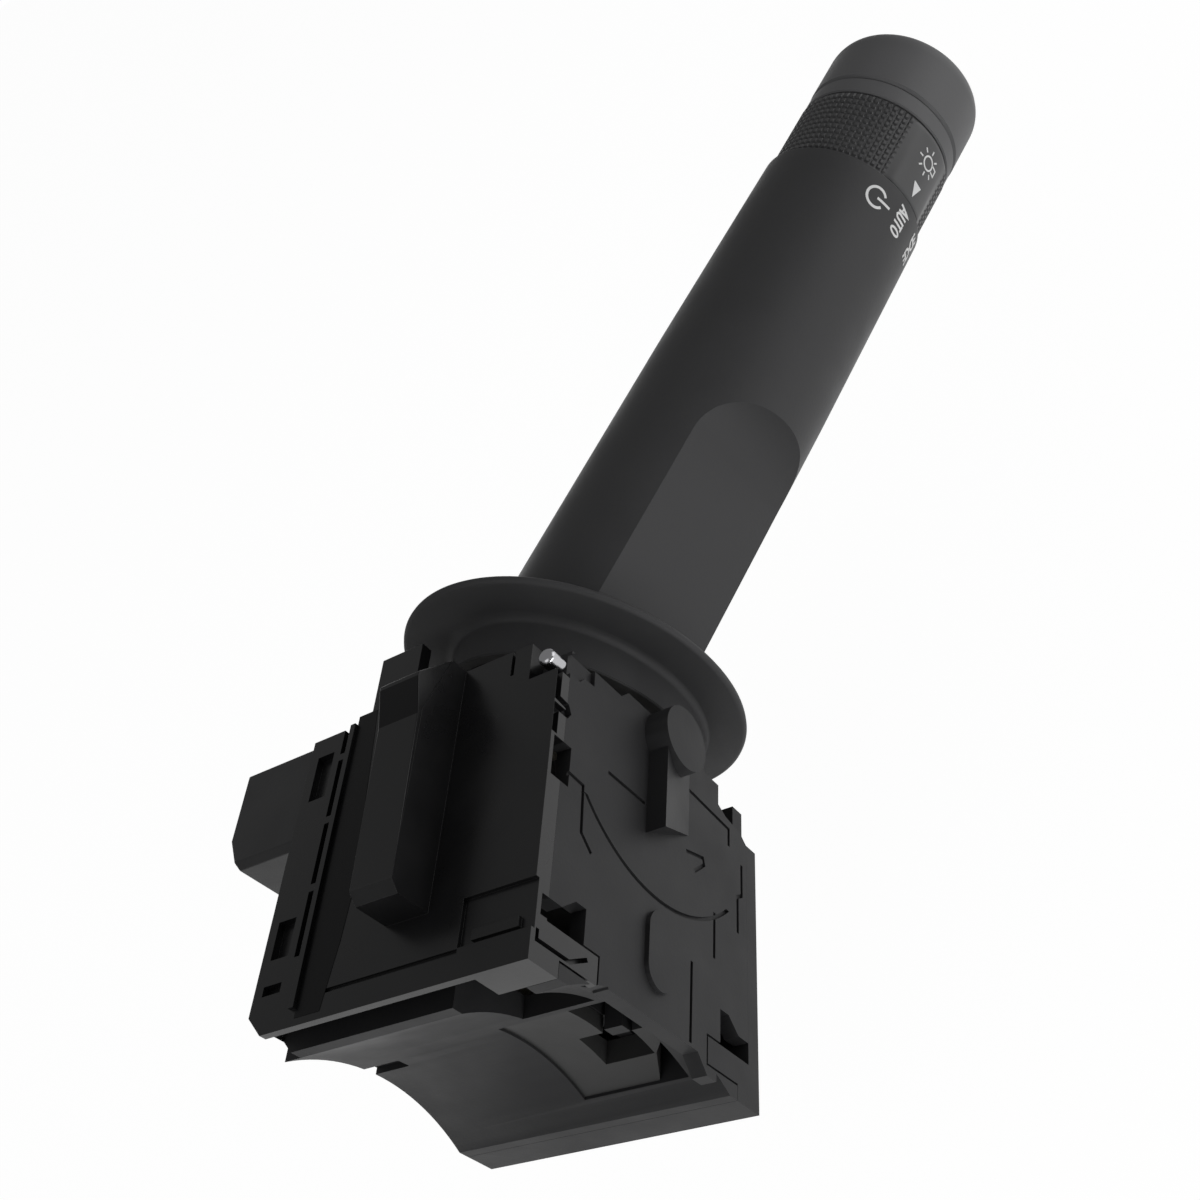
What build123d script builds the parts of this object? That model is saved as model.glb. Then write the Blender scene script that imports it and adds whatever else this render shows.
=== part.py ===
from build123d import *

import os
from math import cos, radians, sin, sqrt

# Combination stalk switch for a steering column: a housing that slides onto the column, and a lever with a
# turning light ring that swings up and down and rocks towards the driver.
#
# Millimetres. The origin is the crown of the round seat under the housing, at its middle. +X points from the
# column outwards along the housing, -Y faces the driver, +Y is the plug side, +Z faces the front cover.

# Fits
running_clearance = 0.05  # between a pin and the part that turns on it
fixed_fit = 0.02  # between a pin and the part that holds it
joint_gap = 0.05  # between mouldings that meet
sleeve_clearance = 0.15  # between the light ring and what it turns on

# Housing
housing_width = 39.5  # from the driver's face to the plug's face, Y
housing_depth = 43.4  # over both covers, Z
housing_top = 36.0  # top of the side walls, above the seat's crown
wall = 2.0
floor_top = 2.2  # inner face of the floor, above the seat's crown
seat_radius = 32.0  # the column that the seat lies on
lip_drop = 3.9  # how far the covers' lips hang below the crown
ledge_rise = 1.4  # the driver's wall above the side walls, beside the boss
ledge_half_depth = 8.0
end_wall_drop = 1.4  # the driver's wall below the crown
end_wall_half_depth = 8.5
end_wall_slant = 2.0  # its further drop towards the rear cover
seat_slot_start = 1.2
seat_slot_width = 2.0
seat_slot_length = 5.4
slot_floor = 0.8
snap_notch = (17.9, 23.0)  # along X
snap_depth = 1.4
snap_rim = 1.2  # left of the cover's edge over the snap windows
snap_hook_foot = 3.8
snap_hook_top = 5.5
snap_hook_slope = 2.2
snap_hook_length = 6.2

# Covers
cover_thickness = 2.3
cover_top = 37.3
lip_height = 2.0
lip_land = 1.6  # flat between the seat's edge and a cover's lip
lip_wall = 1.0  # the front lip, before the trench behind it
trench_top = 0.5
trench_near = 7.4  # from the driver's face
guide_width = 6.0
guide_height = 6.0
guide_start = 4.8
guide_bevel = 1.2
guide_ramp_start = 27.8
guide_ramp_drop = 3.5
guide_side = -2.4  # middle of the guide rail, Y
tongue_top = 1.2
tongue_length = 8.8
tongue_thickness = 1.0
tongue_gap = 0.25
strip_side = 12.2  # start of the slotted strip, Y
strip_rib = 0.8
strip_rib_rise = 0.5
tab_top = 45.5
tab_near = 3.2
tab_far = 10.0
tab_thickness = 1.7
step_top = 40.4
step_width = 5.6
panel = (-0.4, 5.2)  # latch panel by the driver, along X
panel_width = 9.5
panel_depth = 0.5
panel_bar = 1.2
panel_inset = 1.7
slot_count = 4  # slots in the strip
slot_first = 4.7
slot_pitch = 9.2
slot_length = 8.2
slot_width = 1.0
slot_inset = 1.2
slot_depth = 1.0
pockets = ((0.8, 2.0), (5.2, 10.0), (26.5, 33.1))  # beside the strip, along X
pocket_width = 2.8
pocket_inset = 1.4
slit_foot = 33.6  # slit in the cover's top edge
slit_side = -12.6
lip_corner = 2.5
lip_groove_top = -0.5

# Driver's face
boss_radius = 4.3
boss_height = 3.3
boss_floor = 0.8
pad_foot = 20.2  # the thickening beside the boss
pad_side = 3.2
pad_height = 2.8
pad_run = 9.0
pad_slant = 0.5
pill_length = 9.6
pill_width = 5.2
pill_height = 6.7
pill_side = -0.2
pill_rise = 0.6
groove_radius = 21.4  # round line about the pivot
groove_width = 0.5
groove_depth = 0.4
groove_open = 0.72  # share of its radius that the round line leaves out beside the pivot
line_width = 0.5  # shallow lines on the driver's face
line_depth = 0.35
opening_depth = 0.6
channel_width = 0.9  # along the snaps at the front edge
channel_depth = 0.8

# Pivots
pivot_height = 34.4  # both pivot axes, above the seat's crown
beam_pivot_side = 5.5  # the beam pivot, Y
turn_pin_radius = 2.5
beam_pin_radius = 2.0
cancel_pin_radius = 1.2

# Lever
lever_lean = 32.4  # degrees from +X towards the driver
lever_lift = 1.4  # degrees towards +Z
collar_distance = 17.82  # from the pivots along the lever
collar_lean = 9.0  # degrees from +X towards the driver
collar_length = 52.4
collar_breadth = 44.6
collar_thickness = 1.2
collar_shift = -1.5  # of the collar's middle, Z
skirt_height = 5.7
skirt_wall = 1.5
skirt_length = 41.0
skirt_shift = -3.0
skirt_top_breadth = 31.2
skirt_rim_breadth = 32.4
neck_radius = 5.0
neck_end = 40.0
tube_length = 87.3
tube_root_radius = 13.9
tube_middle_radius = 13.6
tube_end_radius = 13.05
tube_end_fillet = 0.6
flat_distance = 8.7  # the driver's flat, from the lever's axis
flat_end = 63.1  # from the pivots along the lever
flat_run_out = 10.0  # radius that ends the flat
ring_length = 12.3
ring_radius = 12.5
ring_end_gap = 0.2
ring_web_start = 4.0
ring_web = 2.0
band_length = 2.9
band_radius = 12.4
cap_length = 11.2
cap_edge_radius = 3.6
cap_wall = 1.6
cap_socket = 7.0
cap_socket_spare = 1.0  # beyond the journal's end
core_radius = 9.4
core_root_radius = 7.0  # the core beside the flat
core_start = 22.0
core_step = 70.0  # from the pivots to where the core widens
shoulder = 2.0  # the core's full radius reaches this far under the ring
journal_radius = 7.5  # the core under the light ring
lead_bore = 3.0
contact_plate_thickness = 1.0
ring_wiper_thickness = 0.5
ring_wiper_width = 1.0
ring_notches = 4
ring_notch_step = 24.0
ring_notch_radius = 1.0
ring_notch_first = -24.0  # degrees from the leaf spring's nose
ring_leaf_thickness = 0.4
ring_leaf_half_angle = 35.0
ring_nose_radius = 0.8

# Carrier and detent
carrier_height = 8.0
cheek = 3.0
near_cheek = -15.5  # outer face of the cheek at the driver's side, Y
far_cheek = 15.3  # outer face of the cheek at the plug's side, Y
carrier_depth = 26.0
carrier_opening = 18.0
carrier_fillet = 1.5
hub_radius = 3.1
hub_clearance = 0.25
root_height = 7.0
root_width = 12.6
root_clearance = 0.3
root_fillet = 1.0
tail_radius = 4.2
tail_end = 20.4  # below the pivots
tail_bore_end = 5.4  # below the pivots
plunger_radius = 2.4
plunger_tip = 24.9  # below the pivots
plunger_length = 12.5
plunger_travel = 1.5
detent_clearance = 0.15
detent_half_width = 8.0
detent_half_depth = 10.0
detent_rim = 11.0
detent_step = 10.0  # degrees between the detent grooves
detent_groove_radius = 2.9
coil_radius = 1.85
coil_wire = 0.35
coil_turns = 5
coil_spare = 0.1  # the coil stays free when the plunger is in

# Contacts
board_thickness = 1.6
board_foot = 3.6
board_margin = 2.4  # inside the covers
board_clearance = 0.3  # below the carrier's hub
pad_thickness = 0.2
pad_width = 1.6
pad_length = 3.4
slider_thickness = 0.9
slider_half_depth = 4.5
slider_half_height = 4.4
slider_reach = 14.4  # drive pin below the pivots
drive_pin_radius = 1.2
drive_slot_spare = 0.4
wiper_thickness = 0.25
wiper_width = 1.0
contact_gap = 0.15
arm_width = 5.0
arm_thickness = 1.5
arm_gap = 0.3

# Plug socket
socket_height = 15.3  # outside, X
socket_depth = 34.0  # outside, Z
socket_setback = 0.7  # behind the front cover's face
socket_length = 12.9
socket_wall = 1.7
socket_slack = 0.9  # between the pins' insulator and the socket's wall
mouth_rise = 4.5  # slanted lower part of the mouth, X
mouth_setback = 2.2
pin_size = 0.8
pin_pitch = 3.4
pin_columns = 8
pin_row_gap = 3.2
pin_end = 28.0
block_height = 7.8  # the pins' insulator, X
block_length = 4.4

# Self-cancelling finger
finger_height = 8.0
finger_inset = 7.05  # from the driver's face
finger_depth = -3.0
finger_width = 2.4
finger_thickness = 2.4
finger_tip_thickness = 1.7
finger_tip = 0.3
finger_top = 12.5
finger_eye = 2.5
lug_width = 1.8
lug_gap = 0.3
plate_height = 0.6
plate_thickness = 1.5
plate_sink = 0.3  # below the seat's surface
plate_corner = ((0.0, 0.0), (3.9, 0.0), (1.8, 4.0), (0.0, 5.8))  # cut off, from the window's corner
guide_openings = ((-3.2, 1.7, -0.4, 7.0), (-1.7, 5.0, -5.0, 0.4))  # about the finger: Y from, to, Z from, to
window_inset = 3.35  # from the driver's face
window_width = 14.5
window_low = -12.0
window_high = 4.6
latch_bar = 1.0  # between the two windows in the seat
latch_inset = 0.6
latch_trim = 3.7

# Dowel pin at the covers' corner
dowel_radius = 1.15
dowel_height = 34.3
dowel_inset = 1.85  # from the driver's face
dowel_length = 6.5  # inside the front cover's face
dowel_stand = 0.5  # outside it
dowel_wall = 1.2

# Stepped corner of the driver's wall at the rear cover
corner_foot = 30.6
corner_steps = ((31.6, 3.7), (32.2, 7.3), (33.1, 9.1))  # X, and in from the rear face

# Places that follow from the sizes
half_width = housing_width / 2
half_depth = housing_depth / 2
shell_half_depth = half_depth - cover_thickness
dowel_side = -half_width + dowel_inset
dowel_foot = dowel_height - dowel_radius - dowel_wall
dowel_start = half_depth - dowel_length
dowel_end = half_depth + dowel_stand
tongue_reach = shell_half_depth - tongue_length
finger_side = -half_width + finger_inset
window_near = -half_width + window_inset
window_far = window_near + window_width
inner_half_width = half_width - wall
lip_top = lip_height - lip_drop
notch_span = (shell_half_depth - snap_depth, half_depth - snap_rim / 2)
tongue_line = [
    (-0.2, half_depth - 2 * line_width),
    (-1.4, half_depth - 2 * line_width),
    (-1.4, 15.3),
    (0.1, 12.4),
]
snap_line = [
    (dowel_foot, half_depth - line_width),
    (28.1, half_depth - line_width),
    (27.9, shell_half_depth),
    (27.3, shell_half_depth - 2 * line_width / 3),
    (26.8, shell_half_depth),
    (26.8, half_depth - line_width),
    (23.3, half_depth - line_width),
]
seat_half_chord = sqrt(seat_radius**2 - (seat_radius - lip_drop) ** 2)
lip_inner = seat_half_chord + lip_land
driver_face = Plane.XZ.offset(half_width)

turn_axis = Plane(origin=(pivot_height, 0, 0), x_dir=(1, 0, 0), z_dir=(0, 1, 0))
beam_axis = Plane(origin=(pivot_height, beam_pivot_side, 0), z_dir=(0, 0, 1))
tail_axis = Plane(origin=(pivot_height, beam_pivot_side, 0), x_dir=(0, 1, 0), z_dir=(-1, 0, 0))
finger_axis = Plane(origin=(finger_height, 0, finger_depth), x_dir=(1, 0, 0), z_dir=(0, 1, 0))
dowel_axis = Plane(origin=(dowel_height, dowel_side, 0), z_dir=(0, 0, 1))

lean = radians(lever_lean)
lift = radians(lever_lift)
lever_axis = Vector(cos(lean) * cos(lift), -sin(lean) * cos(lift), sin(lift))
towards_driver = Vector(-sin(lean), -cos(lean), 0)
pivots = Vector(pivot_height, beam_pivot_side, 0)
lever_plane = Plane(origin=pivots, x_dir=towards_driver, z_dir=lever_axis)
lever_section = Plane(origin=pivots, x_dir=towards_driver, z_dir=towards_driver.cross(lever_axis))
collar_axis = Vector(cos(radians(collar_lean)), -sin(radians(collar_lean)), 0)
collar_centre = pivots + lever_axis * collar_distance
collar_plane = Plane(origin=collar_centre, x_dir=(0, 0, 1), z_dir=collar_axis)
collar_top = collar_plane.offset(collar_thickness / 2)

ring_start = collar_distance + tube_length
band_start = ring_start + ring_length
cap_start = band_start + band_length
cap_end = cap_start + cap_length
shoulder_end = ring_start + shoulder
journal_bore = journal_radius + sleeve_clearance
ring_bore = core_radius + sleeve_clearance

carrier_foot = pivot_height - carrier_height / 2
carrier_top = pivot_height + carrier_height / 2
near_opening = near_cheek + cheek
far_opening = far_cheek - cheek
board_face = inner_half_width - board_thickness
pad_face = board_face - pad_thickness
slider_back = pad_face - contact_gap - wiper_thickness
slider_front = slider_back - slider_thickness
arm_back = slider_front - arm_gap
arm_front = arm_back - arm_thickness
drive_height = pivot_height - slider_reach
plunger_top = plunger_tip - plunger_length
spring_end = plunger_top - plunger_travel - coil_spare

board_half_depth = shell_half_depth - board_margin
board_top = pivot_height - hub_radius - board_clearance
block_top = pivot_height - turn_pin_radius - joint_gap - board_clearance
block_foot = block_top - block_height
block_middle = (block_foot + block_top) / 2
socket_foot = block_foot - socket_slack - socket_wall
socket_top = socket_foot + socket_height
socket_far = half_depth - socket_setback
socket_near = socket_far - socket_depth
block_near = socket_near + socket_wall + 2 * joint_gap
block_far = shell_half_depth - socket_setback
pin_bore = pin_size + 2 * fixed_fit
lug_near = finger_side + finger_width / 2 + lug_gap


def block(x, y, z, mode=Mode.ADD):
    """A box between two values along each axis."""
    size = (x[1] - x[0], y[1] - y[0], z[1] - z[0])
    with Locations(((x[0] + x[1]) / 2, (y[0] + y[1]) / 2, (z[0] + z[1]) / 2)):
        Box(*size, mode=mode)


def rod(plane, radius, start, end, mode=Mode.ADD):
    """A cylinder along a plane's normal, between two distances from it."""
    with BuildSketch(plane.offset(start)) as circle:
        Circle(radius)
    extrude(circle.sketch, amount=end - start, mode=mode)


def prism(plane, points, amount, mode=Mode.ADD):
    """A closed outline on a plane, extruded."""
    with BuildSketch(plane) as outline:
        with BuildLine():
            Polyline(*points, close=True)
        make_face()
    extrude(outline.sketch, amount=amount, mode=mode)


def shallow_line(plane, points, width=line_width, depth=line_depth):
    """A shallow groove of one width along a line of points."""
    with BuildSketch(plane) as line:
        with BuildLine():
            Polyline(*points)
        trace(line_width=width)
    extrude(line.sketch, amount=-depth, mode=Mode.SUBTRACT)


def sleeve(inner, outer, start, end, mode=Mode.ADD):
    """A ring about the lever's axis, between two distances from the pivots."""
    with BuildSketch(lever_plane.offset(start)) as ring:
        Circle(outer)
        Circle(inner, mode=Mode.SUBTRACT)
    extrude(ring.sketch, amount=end - start, mode=mode)


def ordered(side, near, far):
    """Two Z values in rising order, mirrored for the rear cover."""
    return (near, far) if side > 0 else (-far, -near)


def hook_outline():
    """The front snap hook's window on the driver's face."""
    foot = tongue_top + tongue_gap
    return [
        (foot, half_depth - snap_rim),
        (snap_hook_foot, half_depth - snap_rim),
        (snap_hook_foot, shell_half_depth - snap_hook_slope),
        (snap_hook_top, shell_half_depth - 2 * snap_hook_slope),
        (snap_hook_top, shell_half_depth - snap_hook_length),
        (foot, shell_half_depth - snap_hook_length),
    ]


def cut_trench():
    """The trench behind the front lip, and the bevel at its far end."""
    block(
        (-lip_drop, trench_top),
        (-half_width + trench_near, half_width - lip_wall),
        (lip_inner - joint_gap, half_depth - lip_wall),
        mode=Mode.SUBTRACT,
    )
    far_corner = [
        (-lip_drop, half_width - lip_corner),
        (-lip_drop, half_width),
        (-lip_drop + lip_corner, half_width),
    ]
    prism(Plane.XY.offset(seat_half_chord), far_corner, half_depth - seat_half_chord, mode=Mode.SUBTRACT)


def cover_outline(side):
    """A cover's outline seen along Z, with its open corner by the driver."""
    corner = dowel_foot if side > 0 else corner_foot
    corner_side = dowel_side + dowel_radius + dowel_wall if side > 0 else -inner_half_width
    return [
        (-lip_drop, -half_width),
        (corner, -half_width),
        (corner, corner_side),
        (cover_top, corner_side),
        (cover_top, strip_side),
        (housing_top, strip_side),
        (housing_top, half_width),
        (-lip_drop, half_width),
    ]


def cover_base(side):
    """What both covers share: plate, lip on the seat, guide rail and snap tongue."""
    prism(Plane.XY.offset(side * shell_half_depth), cover_outline(side), side * cover_thickness)
    block((-lip_drop, lip_top), (-half_width, half_width), ordered(side, lip_inner, half_depth))
    rail = [
        (guide_start, half_depth),
        (guide_start, half_depth + guide_height - guide_bevel),
        (guide_start + guide_bevel, half_depth + guide_height),
        (guide_ramp_start, half_depth + guide_height),
        (cover_top, half_depth + guide_height - guide_ramp_drop),
        (cover_top, half_depth),
    ]
    rail_plane = Plane.XZ.offset(guide_width / 2 - guide_side)
    prism(rail_plane, [(x, side * z) for x, z in rail], -guide_width)
    block(
        (lip_top - joint_gap, tongue_top),
        (-half_width, -half_width + tongue_thickness),
        ordered(side, tongue_reach, shell_half_depth + joint_gap),
    )


def snap_window(side):
    """The opening in the driver's wall for a cover's snap hook, and the seat of the cover's tongue."""
    prism(driver_face, [(x, side * z) for x, z in hook_outline()], -wall, mode=Mode.SUBTRACT)
    block(
        (lip_top - tongue_gap - joint_gap, tongue_top + tongue_gap),
        (-half_width, -half_width + tongue_thickness + tongue_gap),
        ordered(side, tongue_reach - tongue_gap, shell_half_depth),
        mode=Mode.SUBTRACT,
    )


# Main housing: side walls, floor with the round seat, pivot boss and snap windows
with BuildPart() as main_housing:
    with BuildSketch(driver_face):
        with BuildLine():
            Polyline(
                (-lip_drop, -seat_half_chord),
                (-lip_drop, -lip_inner + joint_gap),
                (lip_top + joint_gap, -lip_inner + joint_gap),
                (lip_top + joint_gap, -shell_half_depth),
                (housing_top, -shell_half_depth),
                (housing_top, shell_half_depth),
                (lip_top + joint_gap, shell_half_depth),
                (lip_top + joint_gap, lip_inner - joint_gap),
                (-lip_drop, lip_inner - joint_gap),
                (-lip_drop, seat_half_chord),
            )
            ThreePointArc((-lip_drop, seat_half_chord), (0, 0), (-lip_drop, -seat_half_chord))
        make_face()
    extrude(amount=-housing_width)
    block(
        (floor_top, housing_top + wall),
        (-inner_half_width, inner_half_width),
        (-half_depth, half_depth),
        mode=Mode.SUBTRACT,
    )
    ledge = [
        (housing_top - wall, -ledge_half_depth - wall - ledge_rise),
        (housing_top + ledge_rise, -ledge_half_depth),
        (housing_top + ledge_rise, ledge_half_depth),
        (housing_top - wall, ledge_half_depth + wall + ledge_rise),
    ]
    prism(driver_face, ledge, -wall)
    block(
        (dowel_foot, housing_top),
        (-half_width, dowel_side + dowel_radius + dowel_wall),
        (dowel_start - dowel_wall, shell_half_depth),
    )
    rod(driver_face.shift_origin((pivot_height, -half_width, 0)), boss_radius, -wall, boss_height)
    # The thickening beside the boss falls from a step to nothing
    thickening = [
        (-half_width + wall / 2, pad_side),
        (-half_width - pad_height, pad_side),
        (-half_width, pad_side - pad_run),
        (-half_width + wall / 2, pad_side - pad_run),
    ]
    prism(Plane.YZ.offset(pad_foot), thickening, pivot_height - pad_foot)
    wedge_end = [
        (pad_foot - wall / 2, pad_side),
        (pad_foot, pad_side),
        (pad_foot + pad_slant * pad_run, pad_side - pad_run),
        (pad_foot - wall / 2, pad_side - pad_run),
    ]
    prism(driver_face, wedge_end, pad_height, mode=Mode.SUBTRACT)
    # The driver's wall closes the round seat with a straight edge below the crown
    end_wall = [
        (wall, end_wall_half_depth + wall),
        (-end_wall_drop, end_wall_half_depth),
        (-end_wall_drop, -end_wall_half_depth),
        (-end_wall_drop - end_wall_slant, -end_wall_half_depth - end_wall_slant),
        (-end_wall_drop - end_wall_slant, -end_wall_half_depth - lip_drop),
        (wall, -end_wall_half_depth - lip_drop),
    ]
    prism(driver_face, end_wall, -wall)
    # Stepped corner beside the rear cover, an opening below the dowel, and shallow lines
    corner = [(corner_foot, -half_depth), (corner_foot, -shell_half_depth)]
    corner += [(x, -half_depth + inset) for x, inset in corner_steps]
    corner += [(housing_top + wall, -half_depth + corner_steps[-1][1]), (housing_top + wall, -half_depth)]
    prism(driver_face, corner, -wall, mode=Mode.SUBTRACT)
    opening = [
        (34.8, 20.3),
        (37.4, 17.1),
        (37.4, 14.9),
        (33.8, 14.8),
        (33.7, 16.7),
        (32.7, 17.5),
        (32.7, 20.3),
    ]
    prism(driver_face, opening, -opening_depth, mode=Mode.SUBTRACT)
    for line in (
        [(19.8, 18.8), (19.6, 15.4), (13.8, 15.1), (12.2, 13.1)],
        [(24.0, 11.0), (24.0, 3.6)],
        [(8.7, -7.0), (-1.0, -7.0)],
        [(17.2, -11.8), (11.2, -11.8)],
        [(22.4, -5.4), (23.3, -9.1), (22.5, -9.4), (20.6, -7.3)],
        [(31.4, -4.0), (30.7, -15.1), (28.2, -15.1)],
        [(17.0, -17.2), (22.0, -17.2), (22.6, -18.2), (27.0, -18.2)],
    ):
        shallow_line(driver_face, line)
    shallow_line(driver_face, snap_line, channel_width, channel_depth)
    # A pill-shaped pad, and a round groove about the pivot
    with BuildSketch(driver_face):
        with Locations((pill_height, pill_side)):
            SlotOverall(pill_length, pill_width)
    extrude(amount=pill_rise)
    with BuildSketch(driver_face):
        with Locations((pivot_height, 0)):
            Circle(groove_radius + groove_width / 2)
            Circle(groove_radius - groove_width / 2, mode=Mode.SUBTRACT)
        with Locations((pivot_height, 0)):
            Rectangle(2 * groove_open * groove_radius, 3 * groove_radius, mode=Mode.SUBTRACT)
        with Locations((pivot_height + groove_radius, 0)):
            Rectangle(2 * groove_radius, 3 * groove_radius, mode=Mode.SUBTRACT)
    extrude(amount=-groove_depth, mode=Mode.SUBTRACT)
    pin_end_near = -half_width - boss_height + boss_floor
    rod(turn_axis, turn_pin_radius + fixed_fit, pin_end_near, half_width, mode=Mode.SUBTRACT)
    rod(dowel_axis, dowel_radius + fixed_fit, dowel_start, half_depth, mode=Mode.SUBTRACT)
    for cover_side in (-1, 1):
        snap_window(cover_side)
    # Upper snap notch at the front edge
    block(snap_notch, (-half_width, -inner_half_width), notch_span, mode=Mode.SUBTRACT)
    cut_trench()
    # Latch window in the seat, open to the trench
    block(
        (-lip_drop, floor_top),
        (window_near + latch_inset, window_far - latch_inset - latch_trim),
        (window_high + latch_bar, lip_inner),
        mode=Mode.SUBTRACT,
    )
    # Slot in the seat's far edge
    block(
        (-lip_drop, slot_floor),
        (half_width - seat_slot_length, half_width),
        (seat_slot_start, seat_slot_start + seat_slot_width),
        mode=Mode.SUBTRACT,
    )
    # Window in the seat for the cancelling finger, and the window for the plug's pins
    block((-lip_drop, floor_top), (window_near, window_far), (window_low, window_high), mode=Mode.SUBTRACT)
    block(
        (block_foot - joint_gap, block_top + joint_gap),
        (inner_half_width, half_width),
        (block_near - joint_gap, block_far + joint_gap),
        mode=Mode.SUBTRACT,
    )
    # Lug that carries the finger's pin, on a bar across the window
    block(
        (floor_top, finger_height + cancel_pin_radius + dowel_wall),
        (lug_near, lug_near + lug_width),
        (finger_depth - finger_eye, finger_depth + finger_eye),
    )
    block(
        (floor_top, floor_top + wall),
        (lug_near, lug_near + lug_width),
        (window_low - wall / 2, window_high + wall / 2),
    )
    rod(
        finger_axis,
        cancel_pin_radius + fixed_fit,
        -inner_half_width - wall / 2,
        lug_near + lug_width,
        mode=Mode.SUBTRACT,
    )

# Front cover: the shared base with the slotted strip, the latch panel and the upright tab
with BuildPart() as front_cover:
    cover_base(1)
    cut_trench()
    prism(driver_face, hook_outline(), -wall, mode=Mode.SUBTRACT)
    block(snap_notch, (-half_width, -inner_half_width), notch_span, mode=Mode.SUBTRACT)
    shallow_line(driver_face, snap_line, channel_width, channel_depth)
    shallow_line(driver_face, tongue_line, line_width, channel_depth)
    block(
        (lip_groove_top - line_width, lip_groove_top),
        (-half_width + panel_width, strip_side),
        (half_depth - line_depth, half_depth),
        mode=Mode.SUBTRACT,
    )
    block(
        (lip_top, housing_top),
        (strip_side, strip_side + strip_rib),
        (half_depth, half_depth + strip_rib_rise),
    )
    for slot in range(slot_count):
        slot_start = slot_first + slot * slot_pitch
        block(
            (slot_start, slot_start + slot_length),
            (strip_side + slot_inset, strip_side + slot_inset + slot_width),
            (half_depth - slot_depth, half_depth),
            mode=Mode.SUBTRACT,
        )
    for pocket in pockets:
        block(
            pocket,
            (half_width - pocket_inset - pocket_width, half_width - pocket_inset),
            (half_depth - slot_depth, half_depth),
            mode=Mode.SUBTRACT,
        )
    block(
        panel,
        (-half_width, -half_width + panel_width),
        (half_depth - panel_depth, half_depth),
        mode=Mode.SUBTRACT,
    )
    block(
        (tongue_top - panel_bar, tongue_top),
        (-half_width + panel_inset, -half_width + panel_width - panel_inset),
        (half_depth - panel_depth, half_depth),
    )
    block(
        (slit_foot, cover_top),
        (slit_side - line_width, slit_side),
        (half_depth - slot_depth, half_depth),
        mode=Mode.SUBTRACT,
    )
    block((cover_top - wall, tab_top), (tab_near, tab_far), (half_depth - tab_thickness, half_depth))
    block(
        (cover_top - wall, step_top),
        (tab_near - step_width, tab_near),
        (half_depth - tab_thickness, half_depth - panel_depth),
    )

# Rear cover
with BuildPart() as rear_cover:
    cover_base(-1)

# Plug socket on the far face, open along +Y
with BuildPart() as connector_shroud:
    block((socket_foot, socket_top), (half_width, half_width + socket_length), (socket_near, socket_far))
    chamfer(edges().filter_by(Axis.Y), length=socket_wall / 2)
    block(
        (socket_foot + socket_wall, socket_top - socket_wall),
        (half_width, half_width + socket_length),
        (socket_near + socket_wall, socket_far - socket_wall),
        mode=Mode.SUBTRACT,
    )
    mouth = half_width + socket_length
    slant = [(socket_foot, mouth - mouth_setback), (socket_foot + mouth_rise, mouth), (socket_foot, mouth)]
    prism(Plane.XY.offset(socket_near), slant, socket_depth, mode=Mode.SUBTRACT)

# Insulator that holds the pins, in the housing's window and the foot of the socket
with BuildPart() as terminal_block:
    block(
        (block_foot, block_top),
        (inner_half_width, inner_half_width + block_length),
        (block_near, block_far),
    )
    with BuildSketch(Plane.XZ.offset(-inner_half_width)):
        with Locations((block_middle, (block_near + block_far) / 2)):
            with GridLocations(pin_row_gap, pin_pitch, 2, pin_columns):
                Rectangle(pin_bore, pin_bore)
    extrude(amount=-block_length, mode=Mode.SUBTRACT)

with BuildPart() as terminal_pins:
    with BuildSketch(Plane.XZ.offset(-board_face)):
        with Locations((block_middle, (block_near + block_far) / 2)):
            with GridLocations(pin_row_gap, pin_pitch, 2, pin_columns):
                Rectangle(pin_size, pin_size)
    extrude(amount=board_face - pin_end)

# Circuit board against the far wall, with its fixed contacts
with BuildPart() as circuit_board:
    block((board_foot, board_top), (board_face, inner_half_width), (-board_half_depth, board_half_depth))
    with BuildSketch(Plane.XZ.offset(-board_face)):
        with Locations((block_middle, (block_near + block_far) / 2)):
            with GridLocations(pin_row_gap, pin_pitch, 2, pin_columns):
                Rectangle(pin_bore, pin_bore)
    extrude(amount=-board_thickness, mode=Mode.SUBTRACT)

wiper_rows = 2 * (slider_half_height - wiper_width)

with BuildPart() as contact_pads:
    with BuildSketch(Plane.XZ.offset(-pad_face)):
        with Locations((drive_height, 0)):
            with GridLocations(wiper_rows, pad_length + pad_width, 2, 3):
                Rectangle(pad_width, pad_length)
    extrude(amount=-pad_thickness)

# Detent block: a bowl about the pivots with three grooves across it
with BuildPart() as detent_block:
    block(
        (floor_top, detent_rim),
        (beam_pivot_side - detent_half_width, beam_pivot_side + detent_half_width),
        (-detent_half_depth, detent_half_depth),
    )
    with Locations(pivots):
        Sphere(plunger_tip + detent_clearance, mode=Mode.SUBTRACT)
    for turn in (-detent_step, 0, detent_step):
        reach = plunger_tip - plunger_radius
        centre = (pivot_height - reach * cos(radians(turn)), 0, reach * sin(radians(turn)))
        rod(
            Plane(origin=centre, x_dir=(1, 0, 0), z_dir=(0, 1, 0)),
            detent_groove_radius,
            beam_pivot_side - detent_half_width / 2,
            beam_pivot_side + detent_half_width / 2,
            mode=Mode.SUBTRACT,
        )

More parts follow.
